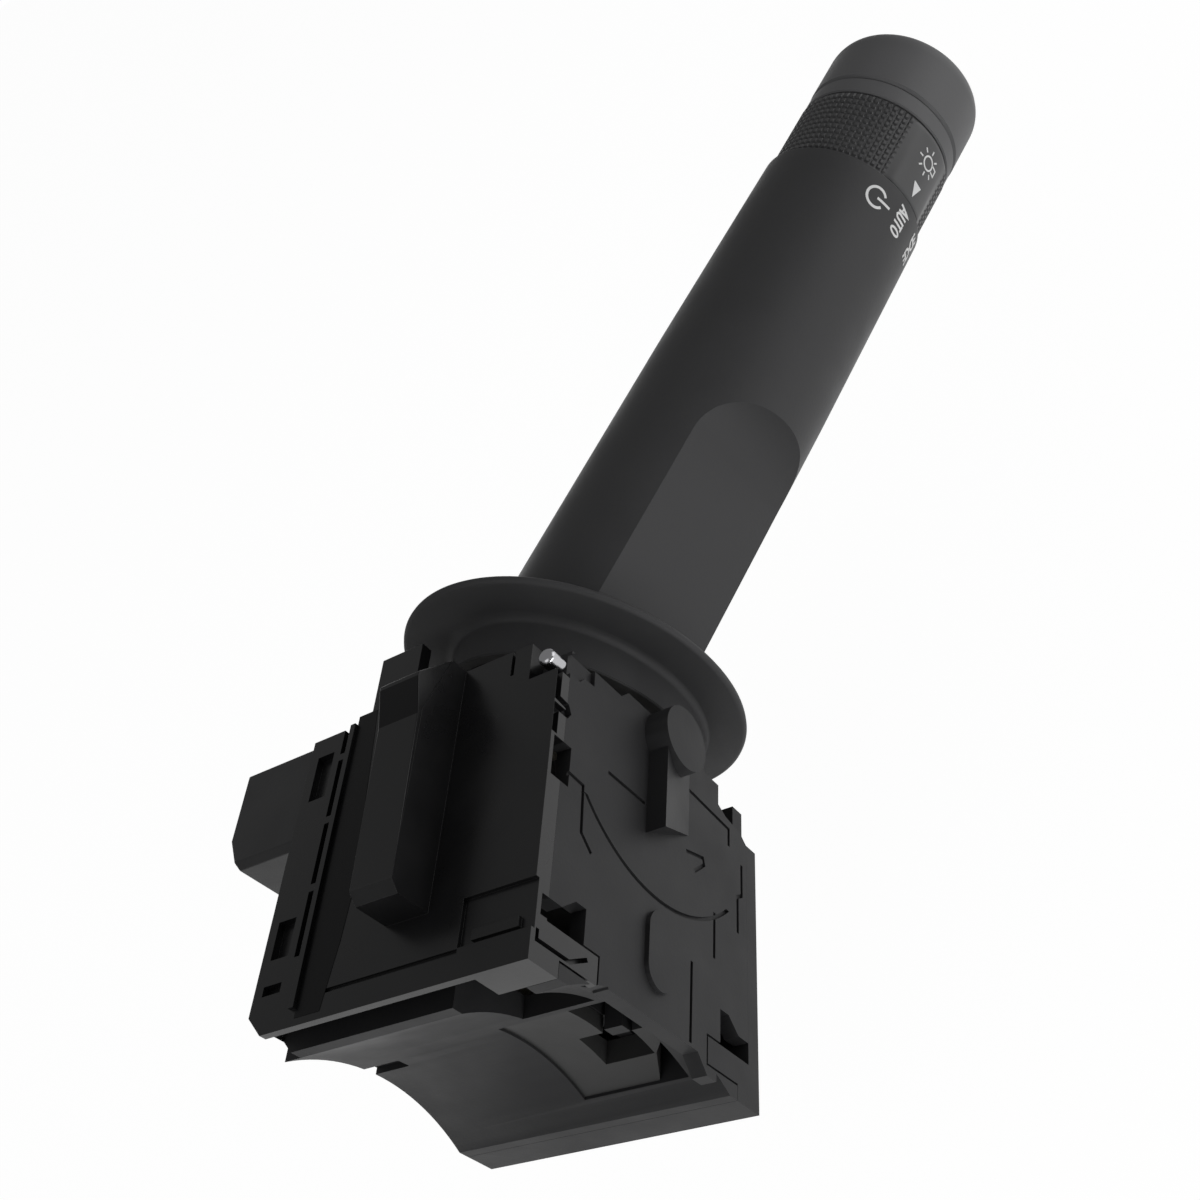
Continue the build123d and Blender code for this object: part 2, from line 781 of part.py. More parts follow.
# Pale plate in the seat's window, with the L-shaped opening for the finger
with BuildPart() as cancel_guide:
    block(
        (-lip_drop, plate_height + plate_thickness),
        (window_near + joint_gap, window_far - joint_gap),
        (window_low + joint_gap, window_high - joint_gap),
    )
    seat_axis = Plane(origin=(-seat_radius, 0, 0), x_dir=(1, 0, 0), z_dir=(0, 1, 0))
    rod(seat_axis, seat_radius + plate_sink, -half_width, half_width, mode=Mode.SUBTRACT)
    cut_corner = [(window_near + y, window_low + z) for y, z in plate_corner]
    cut_height = lip_drop + plate_height + plate_thickness
    prism(Plane.YZ.offset(-lip_drop), cut_corner, cut_height, mode=Mode.SUBTRACT)
    for near, far, low, high in guide_openings:
        block(
            (-lip_drop, plate_height + plate_thickness),
            (finger_side + near, finger_side + far),
            (finger_depth + low, finger_depth + high),
            mode=Mode.SUBTRACT,
        )

with BuildPart() as cancel_pivot_pin:
    rod(finger_axis, cancel_pin_radius, -inner_half_width - wall / 2, lug_near + lug_width)

# Cancelling finger: the steering shaft's cam pushes its tip to either side
with BuildPart() as cancel_finger:
    rod(finger_axis, finger_eye, finger_side - finger_width / 2, finger_side + finger_width / 2)
    finger = [
        (finger_tip, -finger_tip_thickness / 2),
        (finger_tip, finger_tip_thickness / 2),
        (finger_height, finger_thickness / 2),
        (finger_top, finger_thickness / 2),
        (finger_top, -finger_thickness / 2),
        (finger_height, -finger_thickness / 2),
    ]
    finger_plane = Plane.XZ.offset(-(finger_side - finger_width / 2))
    prism(finger_plane, [(x, z + finger_depth) for x, z in finger], -finger_width)
    rod(
        finger_axis,
        cancel_pin_radius + running_clearance,
        finger_side - finger_width / 2,
        finger_side + finger_width / 2,
        mode=Mode.SUBTRACT,
    )

with BuildPart() as turn_pivot_pins:
    rod(turn_axis, turn_pin_radius, pin_end_near, near_opening)
    rod(turn_axis, turn_pin_radius, far_opening, half_width)

with BuildPart() as dowel_pin:
    rod(dowel_axis, dowel_radius, dowel_start, dowel_end)
    fillet(edges().group_by(Axis.Z)[-1], radius=dowel_radius * 0.6)

# Turn carrier: a frame between the two pivots, with hubs and the arm that drives the slider
with BuildPart() as turn_carrier:
    block(
        (carrier_foot, carrier_top),
        (near_cheek, far_cheek),
        (-carrier_depth / 2, carrier_depth / 2),
    )
    fillet(edges().filter_by(Axis.Y), radius=carrier_fillet)
    block(
        (carrier_foot, carrier_top),
        (near_opening, far_opening),
        (-carrier_opening / 2, carrier_opening / 2),
        mode=Mode.SUBTRACT,
    )
    rod(turn_axis, hub_radius, -inner_half_width + hub_clearance, near_cheek)
    rod(turn_axis, hub_radius, far_cheek, inner_half_width - hub_clearance)
    block(
        (drive_height - arm_width / 2, carrier_top - cheek),
        (arm_front, arm_back),
        (-arm_width / 2, arm_width / 2),
    )
    rod(
        Plane(origin=(drive_height, 0, 0), x_dir=(1, 0, 0), z_dir=(0, 1, 0)),
        drive_pin_radius,
        arm_back,
        slider_back,
    )
    rod(
        turn_axis,
        turn_pin_radius + running_clearance,
        -half_width,
        half_width,
        mode=Mode.SUBTRACT,
    )
    rod(beam_axis, beam_pin_radius + fixed_fit, -carrier_depth / 2, carrier_depth / 2, mode=Mode.SUBTRACT)

with BuildPart() as beam_pivot_pin:
    rod(beam_axis, beam_pin_radius, -carrier_depth / 2, carrier_depth / 2)

# Contact slider behind the carrier's arm, with its moving contacts
with BuildPart() as turn_slider:
    slot_half = drive_pin_radius + drive_slot_spare
    block(
        (drive_height - slider_half_height, drive_height + slider_half_height),
        (slider_front, slider_back),
        (-slider_half_depth, slider_half_depth),
    )
    block(
        (drive_height - slot_half, drive_height + slot_half),
        (slider_front, slider_back),
        (-drive_pin_radius - running_clearance, drive_pin_radius + running_clearance),
        mode=Mode.SUBTRACT,
    )

with BuildPart() as turn_wipers:
    with BuildSketch(Plane.XZ.offset(-slider_back)):
        with Locations((drive_height, 0)):
            with GridLocations(wiper_rows, 0, 2, 1):
                Rectangle(wiper_width, 2 * slider_half_depth - 2 * wiper_width)
    extrude(amount=-wiper_thickness)

# Lever root: a block on the beam pin, the neck towards the collar and the tail towards the detent
with BuildPart() as lever_root:
    block(
        (pivot_height - root_height / 2, pivot_height + root_height / 2),
        (beam_pivot_side - root_width / 2, beam_pivot_side + root_width / 2),
        (-carrier_opening / 2 + root_clearance, carrier_opening / 2 - root_clearance),
    )
    fillet(edges().filter_by(Axis.Z), radius=root_fillet)
    rod(lever_plane, neck_radius, 0, neck_end)
    rod(tail_axis, tail_radius, 0, tail_end)
    rod(tail_axis, plunger_radius + running_clearance, tail_bore_end, tail_end, mode=Mode.SUBTRACT)
    rod(
        beam_axis,
        beam_pin_radius + running_clearance,
        -carrier_opening / 2,
        carrier_opening / 2,
        mode=Mode.SUBTRACT,
    )

with BuildPart() as turn_detent_plunger:
    rod(tail_axis, plunger_radius, plunger_top, plunger_tip)
    fillet(edges().group_by(Axis.X)[0], radius=plunger_radius - running_clearance)

# Coil spring between the tail's bore and the plunger
with BuildPart() as turn_detent_spring:
    coil_height = spring_end - tail_bore_end - 2 * coil_wire
    with BuildLine():
        coil = Helix(
            pitch=coil_height / coil_turns,
            height=coil_height,
            radius=coil_radius,
            center=tail_axis.offset(tail_bore_end + coil_wire).origin,
            direction=tail_axis.z_dir,
        )
    with BuildSketch(Plane(origin=coil @ 0, z_dir=coil % 0)):
        Circle(coil_wire)
    sweep()

# Collar: an oval plate leaning between the housing and the lever, with a skirt below it
with BuildPart() as collar:
    with BuildSketch(collar_plane.offset(-collar_thickness / 2)):
        with Locations((collar_shift, 0)):
            Ellipse(collar_length / 2, collar_breadth / 2)
    extrude(amount=collar_thickness)
    fillet(edges().filter_by(GeomType.ELLIPSE), radius=collar_thickness * 0.4)
    for shrink, mode in ((0, Mode.ADD), (skirt_wall, Mode.SUBTRACT)):
        with BuildSketch(collar_plane.offset(-collar_thickness / 2)):
            with Locations((skirt_shift, 0)):
                Ellipse(skirt_length / 2 - shrink, skirt_top_breadth / 2 - shrink)
        with BuildSketch(collar_plane.offset(-collar_thickness / 2 - skirt_height)):
            with Locations((skirt_shift, 0)):
                Ellipse(skirt_length / 2 - shrink, skirt_rim_breadth / 2 - shrink)
        loft(mode=mode)
    rod(lever_plane, neck_radius + fixed_fit, 0, neck_end, mode=Mode.SUBTRACT)

# Stalk tube: round, standing on the leaning collar, with the driver's flat
with BuildPart() as stalk_tube:
    with BuildSketch(lever_section):
        with BuildLine():
            Polyline(
                (core_root_radius + fixed_fit, collar_distance - tube_root_radius),
                (tube_root_radius, collar_distance - tube_root_radius),
                (tube_root_radius, collar_distance),
                (tube_middle_radius, core_step),
                (tube_end_radius, ring_start - tube_end_fillet),
                (tube_end_radius - tube_end_fillet, ring_start),
                (core_radius + fixed_fit, ring_start),
                (core_radius + fixed_fit, core_step),
                (core_root_radius + fixed_fit, core_step),
                close=True,
            )
        make_face()
    revolve(axis=Axis(pivots, lever_axis))
    split(bisect_by=collar_top, keep=Keep.TOP)
    flat_width = 2 * tube_root_radius
    flat_rise = tube_middle_radius - flat_distance
    run_out_start = flat_end - sqrt(2 * flat_run_out * flat_rise - flat_rise**2)
    with BuildSketch(lever_section.offset(-tube_root_radius)):
        with BuildLine():
            Line((flat_distance, 0), (flat_distance, run_out_start))
            CenterArc((flat_distance + flat_run_out, run_out_start), flat_run_out, 90, 90)
            Polyline(
                (flat_distance + flat_run_out, run_out_start + flat_run_out),
                (flat_distance + flat_run_out, 0),
                (flat_distance, 0),
            )
        make_face()
    extrude(amount=flat_width, mode=Mode.SUBTRACT)

# Stalk core: fixed on the neck, it carries the tube, the light ring's journal and the cap
with BuildPart() as stalk_core:
    rod(lever_plane, core_root_radius, core_start, core_step)
    rod(lever_plane, core_radius, core_step, shoulder_end)
    rod(lever_plane, journal_radius, shoulder_end, cap_start + cap_socket - cap_socket_spare)
    rod(lever_plane, neck_radius + fixed_fit, core_start, neck_end, mode=Mode.SUBTRACT)
    rod(lever_plane, lead_bore, neck_end, cap_start, mode=Mode.SUBTRACT)

with BuildPart() as ring_contact_plate:
    sleeve(
        journal_radius + fixed_fit,
        core_radius,
        shoulder_end + joint_gap,
        shoulder_end + joint_gap + contact_plate_thickness,
    )

# Light ring: knurled outside, with a web that turns on the journal and notches for the leaf spring
with BuildPart() as light_ring:
    sleeve(ring_bore, ring_radius, ring_start + ring_end_gap, band_start - ring_end_gap)
    web_foot = ring_start + ring_web_start
    sleeve(journal_bore, (ring_bore + ring_radius) / 2, web_foot, web_foot + ring_web)
    for notch in range(ring_notches):
        turn = radians(180 - ring_notch_first - notch * ring_notch_step)
        notch_plane = lever_plane.shift_origin(
            lever_plane.from_local_coords((ring_bore * cos(turn), ring_bore * sin(turn), 0))
        )
        rod(
            notch_plane,
            ring_notch_radius,
            web_foot + ring_web,
            band_start - ring_end_gap,
            mode=Mode.SUBTRACT,
        )

# Moving contact of the light ring: three arcs under its web
with BuildPart() as ring_wiper:
    wiper_radius = (journal_bore + core_radius) / 2
    with BuildSketch(lever_plane.offset(web_foot - ring_wiper_thickness)):
        Circle(wiper_radius + ring_wiper_width / 2)
        Circle(wiper_radius - ring_wiper_width / 2, mode=Mode.SUBTRACT)
        with PolarLocations(wiper_radius, 3):
            Rectangle(4 * ring_wiper_width, wiper_radius, mode=Mode.SUBTRACT)
    extrude(amount=ring_wiper_thickness)

# Leaf spring on the journal, with a nose that clicks into the ring's notches
with BuildPart() as ring_detent_spring:
    leaf_start = web_foot + ring_web + ring_end_gap
    leaf_end = band_start - 2 * ring_end_gap
    leaf_spread = ring_radius * sin(radians(ring_leaf_half_angle))
    nose_top = ring_bore - ring_end_gap / 2
    with BuildSketch(lever_plane.offset(leaf_start)):
        Circle(journal_radius + fixed_fit + ring_leaf_thickness)
        Circle(journal_radius + fixed_fit, mode=Mode.SUBTRACT)
        with BuildLine():
            Polyline(
                (0, 0),
                (-ring_radius, leaf_spread),
                (-ring_radius, -leaf_spread),
                close=True,
            )
        make_face(mode=Mode.INTERSECT)
        with Locations((-nose_top + ring_nose_radius, 0)):
            Circle(ring_nose_radius)
        with Locations((-(nose_top + journal_radius) / 2, 0)):
            Rectangle(nose_top - journal_radius - 2 * ring_leaf_thickness, 1.6 * ring_nose_radius)
    extrude(amount=leaf_end - leaf_start)

with BuildPart() as spacer_band:
    sleeve(journal_radius + fixed_fit, band_radius, band_start, cap_start)

# End cap: a cup with a rounded end and a socket for the journal's end
with BuildPart() as end_cap:
    rod(lever_plane, ring_radius, cap_start + joint_gap, cap_end)
    fillet(edges().sort_by(Axis(pivots, lever_axis))[-1], radius=cap_edge_radius)
    sleeve(
        journal_radius + cap_wall,
        ring_radius - cap_wall,
        cap_start + joint_gap,
        cap_end - cap_wall - cap_edge_radius / 2,
        mode=Mode.SUBTRACT,
    )
    rod(
        lever_plane,
        journal_radius + fixed_fit,
        cap_start + joint_gap,
        cap_start + cap_socket,
        mode=Mode.SUBTRACT,
    )

pieces = {
    "main_housing": main_housing,
    "front_cover": front_cover,
    "rear_cover": rear_cover,
    "connector_shroud": connector_shroud,
    "terminal_block": terminal_block,
    "terminal_pins": terminal_pins,
    "circuit_board": circuit_board,
    "contact_pads": contact_pads,
    "detent_block": detent_block,
    "cancel_guide": cancel_guide,
    "cancel_pivot_pin": cancel_pivot_pin,
    "cancel_finger": cancel_finger,
    "turn_pivot_pins": turn_pivot_pins,
    "dowel_pin": dowel_pin,
    "turn_carrier": turn_carrier,
    "beam_pivot_pin": beam_pivot_pin,
    "turn_slider": turn_slider,
    "turn_wipers": turn_wipers,
    "lever_root": lever_root,
    "turn_detent_plunger": turn_detent_plunger,
    "turn_detent_spring": turn_detent_spring,
    "collar": collar,
    "stalk_tube": stalk_tube,
    "stalk_core": stalk_core,
    "ring_contact_plate": ring_contact_plate,
    "light_ring": light_ring,
    "ring_wiper": ring_wiper,
    "ring_detent_spring": ring_detent_spring,
    "spacer_band": spacer_band,
    "end_cap": end_cap,
}
os.makedirs("parts", exist_ok=True)
for name, piece in pieces.items():
    piece.part.label = name
    export_step(piece.part, f"parts/{name}.step")
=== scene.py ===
from math import acos, cos, pi, radians, sin, sqrt

import bmesh
import bpy
from mathutils import Matrix, Vector


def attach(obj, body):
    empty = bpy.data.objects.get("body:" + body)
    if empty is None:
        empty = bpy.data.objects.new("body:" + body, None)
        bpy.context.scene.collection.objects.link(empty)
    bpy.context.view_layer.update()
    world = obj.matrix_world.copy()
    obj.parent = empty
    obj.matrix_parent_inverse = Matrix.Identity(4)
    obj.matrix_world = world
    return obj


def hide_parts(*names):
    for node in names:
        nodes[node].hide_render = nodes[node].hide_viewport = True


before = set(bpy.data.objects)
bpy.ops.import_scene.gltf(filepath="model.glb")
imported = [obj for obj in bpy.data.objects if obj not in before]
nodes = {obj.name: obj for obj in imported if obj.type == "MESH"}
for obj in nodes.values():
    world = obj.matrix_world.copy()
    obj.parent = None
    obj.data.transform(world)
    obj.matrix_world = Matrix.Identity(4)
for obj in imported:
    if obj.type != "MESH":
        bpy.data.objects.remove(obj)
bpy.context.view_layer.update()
MM = 0.001

# Sizes of the lever, in millimetres, as in the solids
PIVOTS = Vector((34.4, 5.5, 0.0))
LEAN = radians(32.4)
LIFT = radians(1.4)
LEVER_AXIS = Vector((cos(LEAN) * cos(LIFT), -sin(LEAN) * cos(LIFT), sin(LIFT)))
TO_DRIVER = Vector((-sin(LEAN), -cos(LEAN), 0.0))
ACROSS = LEVER_AXIS.cross(TO_DRIVER)
COLLAR_DISTANCE = 17.82
COLLAR_LEAN = radians(9.0)
COLLAR_AXIS = Vector((cos(COLLAR_LEAN), -sin(COLLAR_LEAN), 0.0))
COLLAR_SIDE = Vector((sin(COLLAR_LEAN), cos(COLLAR_LEAN), 0.0))
COLLAR_THICKNESS = 1.2
COLLAR_FACE = COLLAR_THICKNESS / 2
COLLAR_CENTRE = PIVOTS + LEVER_AXIS * COLLAR_DISTANCE
COLLAR_HALF_LENGTH = 26.2
COLLAR_HALF_BREADTH = 22.3
COLLAR_SHIFT = -1.5
SKIRT_SHIFT = -3.0
SKIRT_HALF_LENGTH = 20.5
SKIRT_TOP = 15.6
SKIRT_RIM = 16.2
SKIRT_HEIGHT = 5.7
SKIRT_WALL = 1.5
NECK_RADIUS = 5.02
RING_START = 105.12
RING_LENGTH = 12.3
BAND_START = RING_START + RING_LENGTH
CAP_START = BAND_START + 2.9
CAP_END = CAP_START + 11.2
CORE_STEP = 70.0
FLAT_DISTANCE = 8.7
FLAT_END = 63.1
FLAT_RUN_OUT = 10.0
RING_RADIUS = 12.5


def linear(code):
    """An sRGB hex colour as Blender's linear RGBA."""
    parts = [int(code[i : i + 2], 16) / 255 for i in (1, 3, 5)]
    return [c / 12.92 if c <= 0.04045 else ((c + 0.055) / 1.055) ** 2.4 for c in parts] + [1.0]


def add_node(tree, kind, inputs=None, **settings):
    """Adds a node with its properties; an input is a value, or another node's socket to link."""
    node = tree.nodes.new(kind)
    for name, value in settings.items():
        setattr(node, name, value)
    for name, value in (inputs or {}).items():
        if isinstance(value, bpy.types.NodeSocket):
            tree.links.new(value, node.inputs[name])
        else:
            node.inputs[name].default_value = value
    return node


def per_metre(size_mm):
    """A texture's scale for a pattern whose cells are size_mm across."""
    return 1 / (size_mm * MM)


# Patterns that all finishes share, in millimetres across, and how far the clouds change the tone
CLOUD_MM = 11.0
SPECK_MM = 0.9
CLOUD_SHARE = 0.28


def moulded(name, colour, marks, roughness, grain_mm, grain_depth_mm, specular, metallic=0.0):
    """A moulded or ground finish: cloudy tone, rubbed specks, uneven sheen, fine grain in the bump.

    Real grain is about a tenth of a millimetre; grain_mm is coarser than that, so that it shows.
    """
    material = bpy.data.materials.new(name)
    material.use_nodes = True
    tree = material.node_tree
    tree.nodes.clear()
    place = add_node(tree, "ShaderNodeTexCoord").outputs["Object"]
    cloud = add_node(
        tree,
        "ShaderNodeTexNoise",
        {"Vector": place, "Scale": per_metre(CLOUD_MM), "Detail": 3.0, "Roughness": 0.6},
    )
    specks = add_node(
        tree,
        "ShaderNodeTexNoise",
        {"Vector": place, "Scale": per_metre(SPECK_MM), "Detail": 4.0, "Roughness": 0.7},
    )
    grain = add_node(
        tree,
        "ShaderNodeTexNoise",
        {"Vector": place, "Scale": per_metre(grain_mm), "Detail": 2.0, "Roughness": 0.5},
    )
    tone = add_node(
        tree,
        "ShaderNodeMapRange",
        {"Value": cloud.outputs["Fac"], "From Min": 0.35, "From Max": 0.7},
    )
    rubbed = add_node(
        tree,
        "ShaderNodeMapRange",
        {"Value": specks.outputs["Fac"], "From Min": 0.62, "From Max": 0.8, "To Max": 0.35},
    )
    clouded = add_node(
        tree, "ShaderNodeMath", {0: tone.outputs["Result"], 1: CLOUD_SHARE}, operation="MULTIPLY"
    )
    worn = add_node(
        tree,
        "ShaderNodeMath",
        {0: clouded.outputs[0], 1: rubbed.outputs["Result"]},
        operation="MAXIMUM",
    )
    base = add_node(
        tree,
        "ShaderNodeMix",
        {"Factor": worn.outputs[0], "A": linear(colour), "B": linear(marks)},
        data_type="RGBA",
    )
    sheen = add_node(
        tree,
        "ShaderNodeMapRange",
        {
            "Value": cloud.outputs["Fac"],
            "From Min": 0.3,
            "From Max": 0.7,
            "To Min": roughness - 0.06,
            "To Max": roughness + 0.07,
        },
    )
    bump = add_node(
        tree,
        "ShaderNodeBump",
        {"Height": grain.outputs["Fac"], "Distance": grain_depth_mm * MM, "Strength": 1.0},
    )
    surface = add_node(
        tree,
        "ShaderNodeBsdfPrincipled",
        {
            "Base Color": base.outputs["Result"],
            "Roughness": sheen.outputs["Result"],
            "Metallic": metallic,
            "Normal": bump.outputs["Normal"],
            "Specular IOR Level": specular,
        },
    )
    add_node(tree, "ShaderNodeOutputMaterial", {"Surface": surface.outputs["BSDF"]})
    return material


# Glass-filled nylon from a spark-eroded tool: near-black and dull, faintly cloudy, a wide highlight
black_nylon = moulded("black_nylon_moulded", "#242425", "#313132", 0.52, 0.45, 0.010, 0.2)
# The same nylon with more sheen: the plug socket's walls lift to grey where they face the light
socket_nylon = moulded("black_nylon_socket", "#222223", "#2e2e2f", 0.46, 0.45, 0.010, 0.42)
# The same nylon from a polished tool: deep black with a tighter highlight, the front cover
cover_nylon = moulded("cover_nylon_polished", "#101011", "#1a1a1b", 0.3, 0.6, 0.005, 0.4)
# The same nylon, painted darker and with less reflection as painted shade: it reads as a black band
# beside the slotted strip
painted_shade_nylon = moulded("cover_nylon_painted_shade", "#0b0b0c", "#141415", 0.3, 0.6, 0.004, 0.15)
# ABS with a satin texture: dark grey, its highlight fading softly round the tube
satin_abs = moulded("satin_abs_textured", "#343435", "#3e3e3f", 0.5, 0.5, 0.012, 0.3)
# ABS of the light ring: a little glossier, so that the pads stand out from their grooves
ring_abs = moulded("ring_abs_knurled", "#3a3a3b", "#4b4b4c", 0.42, 0.5, 0.008, 0.45)
# ABS of the band and end cap: satin, the palest grey of the lever
cap_abs = moulded("cap_abs_satin", "#545455", "#606062", 0.5, 0.5, 0.010, 0.36)
# Thermoplastic elastomer of the collar: matt dark grey with hardly a highlight
collar_tpe = moulded("collar_elastomer_matt", "#363637", "#434344", 0.6, 0.5, 0.014, 0.26)
# Natural acetal, moulded: off-white with a waxy sheen, the inner works
natural_acetal = moulded("natural_acetal_moulded", "#b8b3a4", "#cfcabc", 0.4, 0.6, 0.006, 0.5)
# Acetal coloured grey: plain dark grey, the plate in the seat's window and the contact slider
grey_acetal = moulded("grey_acetal_moulded", "#2c2c2c", "#383837", 0.5, 0.6, 0.006, 0.25)
# Hardened steel, ground: bright pins with a sharp reflection
ground_steel = moulded("ground_steel", "#b5b5b8", "#d2d2d4", 0.22, 0.3, 0.003, 0.5, metallic=1.0)
# Drawn spring wire and strip: a darker metal with a softer reflection
spring_steel = moulded(
    "drawn_spring_steel", "#8e8e92", "#a9a9ac", 0.3, 0.3, 0.003, 0.5, metallic=1.0
)
# Brass, tinned: pale gold contacts
tinned_brass = moulded("tinned_brass", "#c2ab78", "#d9c99c", 0.28, 0.4, 0.003, 0.5, metallic=1.0)
# Glass-fibre laminate under solder mask: glossy dark green
solder_mask = moulded("solder_mask_laminate", "#17452a", "#1f5a37", 0.3, 0.5, 0.004, 0.5)
# Pad-printed ink: off-white symbols, slightly worn
white_ink = moulded("white_ink_printed", "#e2e2e2", "#c8c8c8", 0.5, 0.4, 0.002, 0.4)

node_materials = {
    "main_housing": black_nylon,
    "front_cover": cover_nylon,
    "rear_cover": black_nylon,
    "connector_shroud": socket_nylon,
    "terminal_block": natural_acetal,
    "terminal_pins": tinned_brass,
    "circuit_board": solder_mask,
    "contact_pads": tinned_brass,
    "detent_block": natural_acetal,
    "cancel_guide": grey_acetal,
    "cancel_pivot_pin": ground_steel,
    "cancel_finger": black_nylon,
    "turn_pivot_pins": ground_steel,
    "dowel_pin": ground_steel,
    "turn_carrier": natural_acetal,
    "beam_pivot_pin": ground_steel,
    "turn_slider": grey_acetal,
    "turn_wipers": tinned_brass,
    "lever_root": black_nylon,
    "turn_detent_plunger": natural_acetal,
    "turn_detent_spring": spring_steel,
    "collar": collar_tpe,
    "stalk_tube": satin_abs,
    "stalk_core": black_nylon,
    "ring_contact_plate": tinned_brass,
    "light_ring": ring_abs,
    "ring_wiper": tinned_brass,
    "ring_detent_spring": spring_steel,
    "spacer_band": cap_abs,
    "end_cap": cap_abs,
}
for name, material in node_materials.items():
    nodes[name].data.materials.clear()
    nodes[name].data.materials.append(material)


def soften(node, width_mm):
    """Rounds a moulded piece's edges by modifiers, once its flat sides are joined into faces."""
    weld = node.modifiers.new("weld", "WELD")
    weld.merge_threshold = 1e-6
    join = node.modifiers.new("join_faces", "DECIMATE")
    join.decimate_type = "DISSOLVE"
    join.angle_limit = radians(0.5)
    bevel = node.modifiers.new("edge_radius", "BEVEL")
    bevel.width = width_mm * MM
    bevel.segments = 2
    bevel.limit_method = "ANGLE"
    bevel.angle_limit = radians(35)
    bevel.harden_normals = True


MOULDED_EDGE = 0.16
for name in ("main_housing", "front_cover", "rear_cover", "connector_shroud"):
    soften(nodes[name], MOULDED_EDGE)


def add_piece(name, vertices, faces, body, material, sharp_deg=32):
    """A piece from points in millimetres, smooth but for edges sharper than sharp_deg."""
    mesh = bpy.data.meshes.new(name)
    mesh.from_pydata([Vector(v) * MM for v in vertices], [], faces)
    work = bmesh.new()
    work.from_mesh(mesh)
    bmesh.ops.remove_doubles(work, verts=work.verts, dist=1e-7)
    bmesh.ops.dissolve_degenerate(work, edges=work.edges, dist=1e-7)
    bmesh.ops.recalc_face_normals(work, faces=work.faces)
    work.to_mesh(mesh)
    work.free()
    mesh.shade_smooth()
    mesh.set_sharp_from_angle(angle=radians(sharp_deg))
    mesh.materials.append(material)
    piece = bpy.data.objects.new(name, mesh)
    bpy.context.scene.collection.objects.link(piece)
    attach(piece, body)
    return piece


def looped(rows):
    """Points and faces of a closed body from equal rows of points; the last row joins the first."""
    count = len(rows[0])
    points = [point for row in rows for point in row]
    faces = []
    for i in range(len(rows)):
        j = (i + 1) % len(rows)
        for k in range(count):
            m = (k + 1) % count
            faces.append((i * count + k, i * count + m, j * count + m, j * count + k))
    return points, faces


def on_lever(toward, across, along):
    """A point given by its distances along the lever's three directions."""
    return PIVOTS + TO_DRIVER * toward + ACROSS * across + LEVER_AXIS * along


def rounded_corner(radius, height, corner, start_deg, steps):
    """Profile points (radius, height) round a quarter circle, from its side to its end."""
    middle_radius = radius - corner
    turns = [radians(start_deg + 90 * k / steps) for k in range(steps + 1)]
    return [(middle_radius + corner * cos(t), height + corner * sin(t)) for t in turns]


TURNED_COLUMNS = 192


def turned(name, profile, body, material, sharp_deg=32):
    """A body turned about the lever's axis from a closed profile of (radius, height)."""
    turns = [2 * pi * k / TURNED_COLUMNS for k in range(TURNED_COLUMNS)]
    rows = [[on_lever(r * cos(t), r * sin(t), height) for t in turns] for r, height in profile]
    points, faces = looped(rows)
    return add_piece(name, points, faces, body, material, sharp_deg)


# Stalk tube: round with the driver's flat, standing on the leaning collar
TUBE_SIZES = [(COLLAR_DISTANCE, 13.9), (CORE_STEP, 13.6), (RING_START, 13.05)]
TUBE_END_FILLET = 0.3
TUBE_BORE = 9.42
CORE_BORE = 7.02
CORE_BORE_LOW = 24.0
TUBE_FOOT = 28.0
FOOT_SINK = 0.1
ROW_STEP = 2
RUN_OUT_SPAN = 10
RUN_OUT_ROWS = 36
FLAT_COLUMNS = 48
ROUND_COLUMNS = 176


def tube_radius(height):
    """The tube's radius, which narrows evenly between its sizes."""
    for (low, r_low), (high, r_high) in zip(TUBE_SIZES, TUBE_SIZES[1:]):
        if height <= high:
            return r_low + (r_high - r_low) * (height - low) / (high - low)
    return TUBE_SIZES[-1][1]


def flat_depth(height):
    """Distance of the flat from the axis: constant, then running out on an arc."""
    rise = tube_radius(FLAT_END) - FLAT_DISTANCE
    start = FLAT_END - sqrt(2 * FLAT_RUN_OUT * rise - rise**2)
    if height <= start:
        return FLAT_DISTANCE
    drop = sqrt(max(0.0, FLAT_RUN_OUT**2 - (height - start) ** 2))
    return FLAT_DISTANCE + FLAT_RUN_OUT - drop


def tube_section(height, radius):
    """Points (toward, across) round the tube: the flat's columns, then the round's."""
    half = acos(min(1.0, flat_depth(height) / radius)) if height <= FLAT_END else 0.0
    reach = radius * sin(half)
    toward = radius * cos(half)
    section = [(toward, -reach + 2 * reach * k / FLAT_COLUMNS) for k in range(FLAT_COLUMNS)]
    for k in range(ROUND_COLUMNS):
        turn = half + (2 * pi - 2 * half) * k / ROUND_COLUMNS
        section.append((radius * cos(turn), radius * sin(turn)))
    return section


def collar_height(toward, across, offset):
    """Height along the lever at which a line beside its axis meets the collar's plane."""
    base = on_lever(toward, across, 0) - COLLAR_CENTRE
    return (offset - base.dot(COLLAR_AXIS)) / LEVER_AXIS.dot(COLLAR_AXIS)


def level_row(section, height):
    """A section's points at one height."""
    return [on_lever(x, y, height) for x, y in section]


def foot_row(section):
    """A section's points where they meet the collar, a little below its face."""
    sunk = COLLAR_FACE - FOOT_SINK
    return [on_lever(x, y, collar_height(x, y, sunk)) for x, y in section]


